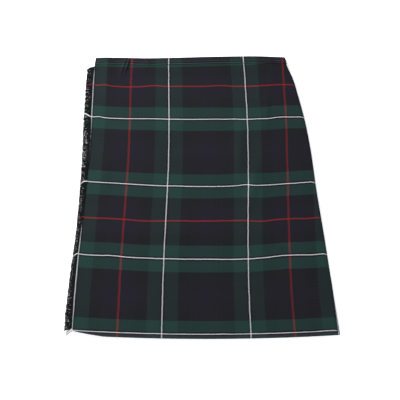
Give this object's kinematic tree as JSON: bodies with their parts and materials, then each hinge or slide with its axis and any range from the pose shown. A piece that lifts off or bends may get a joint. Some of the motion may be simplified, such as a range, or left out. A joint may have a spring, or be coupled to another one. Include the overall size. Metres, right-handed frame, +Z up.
{
  "type": "tartan kilt laid flat",
  "caption": "Knife-pleated tartan wrap kilt laid flat, fringed over-apron up, with a narrow waistband and a strap and buckle at the back.",
  "frame": {"origin": "centre of the bounding box, on the surface that the kilt lies on", "axes": "+Z up, out of the over-apron's face; +Y towards the waist; +X towards the wearer's left, the side with the folded edge"},
  "size_m": [0.6029, 0.6169, 0.0152],
  "materials": {
    "tartan_cloth": "matt twill-woven worsted wool in a green, navy and black tartan with white and red lines",
    "fringe_threads": "loose woollen weft threads",
    "strap_leather": "satin black",
    "buckle_metal": "nickel plated"
  },
  "bodies": {
    "root": {"over_apron": "tartan_cloth", "pleated_back": "tartan_cloth", "under_apron": "tartan_cloth", "waistband": "tartan_cloth", "fringe": "fringe_threads", "strap": "strap_leather", "buckle_tab": "strap_leather", "buckle_frame": "buckle_metal", "buckle_tongue": "buckle_metal"}
  },
  "joints": []
}
